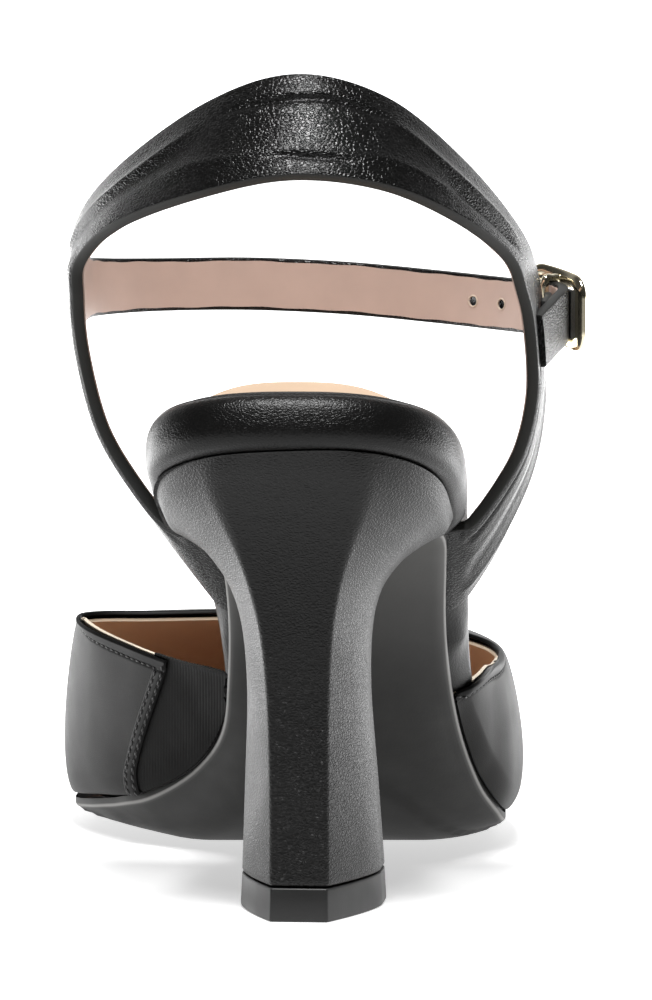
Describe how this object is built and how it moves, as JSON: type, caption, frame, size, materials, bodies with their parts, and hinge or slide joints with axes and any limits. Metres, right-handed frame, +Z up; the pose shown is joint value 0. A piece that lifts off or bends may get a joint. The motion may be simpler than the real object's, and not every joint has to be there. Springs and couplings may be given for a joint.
{
  "type": "ankle strap pump",
  "caption": "Closed-toe leather pump with open sides and back, a padded ankle band, a buckled front strap and a tall flared block heel.",
  "frame": {"origin": "point on the floor under the middle of the shoe's box", "axes": "+Y from heel to toe, +X to the outside of the right foot, +Z up from the floor"},
  "size_m": [0.0995, 0.2209, 0.149],
  "materials": {
    "outsole_rubber": "matt, finely textured",
    "rim_leather": "satin, fine pebble grain",
    "sock_leather": "matt",
    "heel_leather": "satin, fine pebble grain",
    "tip_plastic": "matt",
    "vamp_leather": "satin, fine grain",
    "elastic_ribbing": "ribbed elastic",
    "band_leather": "satin, padded, fine grain",
    "tab_leather": "satin",
    "buckle_gold": "polished pale gold"
  },
  "bodies": {
    "root": {"outsole": "outsole_rubber", "footbed": "rim_leather", "sock": "sock_leather", "heel_block": "heel_leather", "heel_tip": "tip_plastic", "vamp": "vamp_leather", "elastic_gore": "elastic_ribbing", "ankle_band": "band_leather", "buckle_tab": "tab_leather", "buckle_frame": "buckle_gold", "buckle_prong": "buckle_gold"}
  },
  "joints": []
}
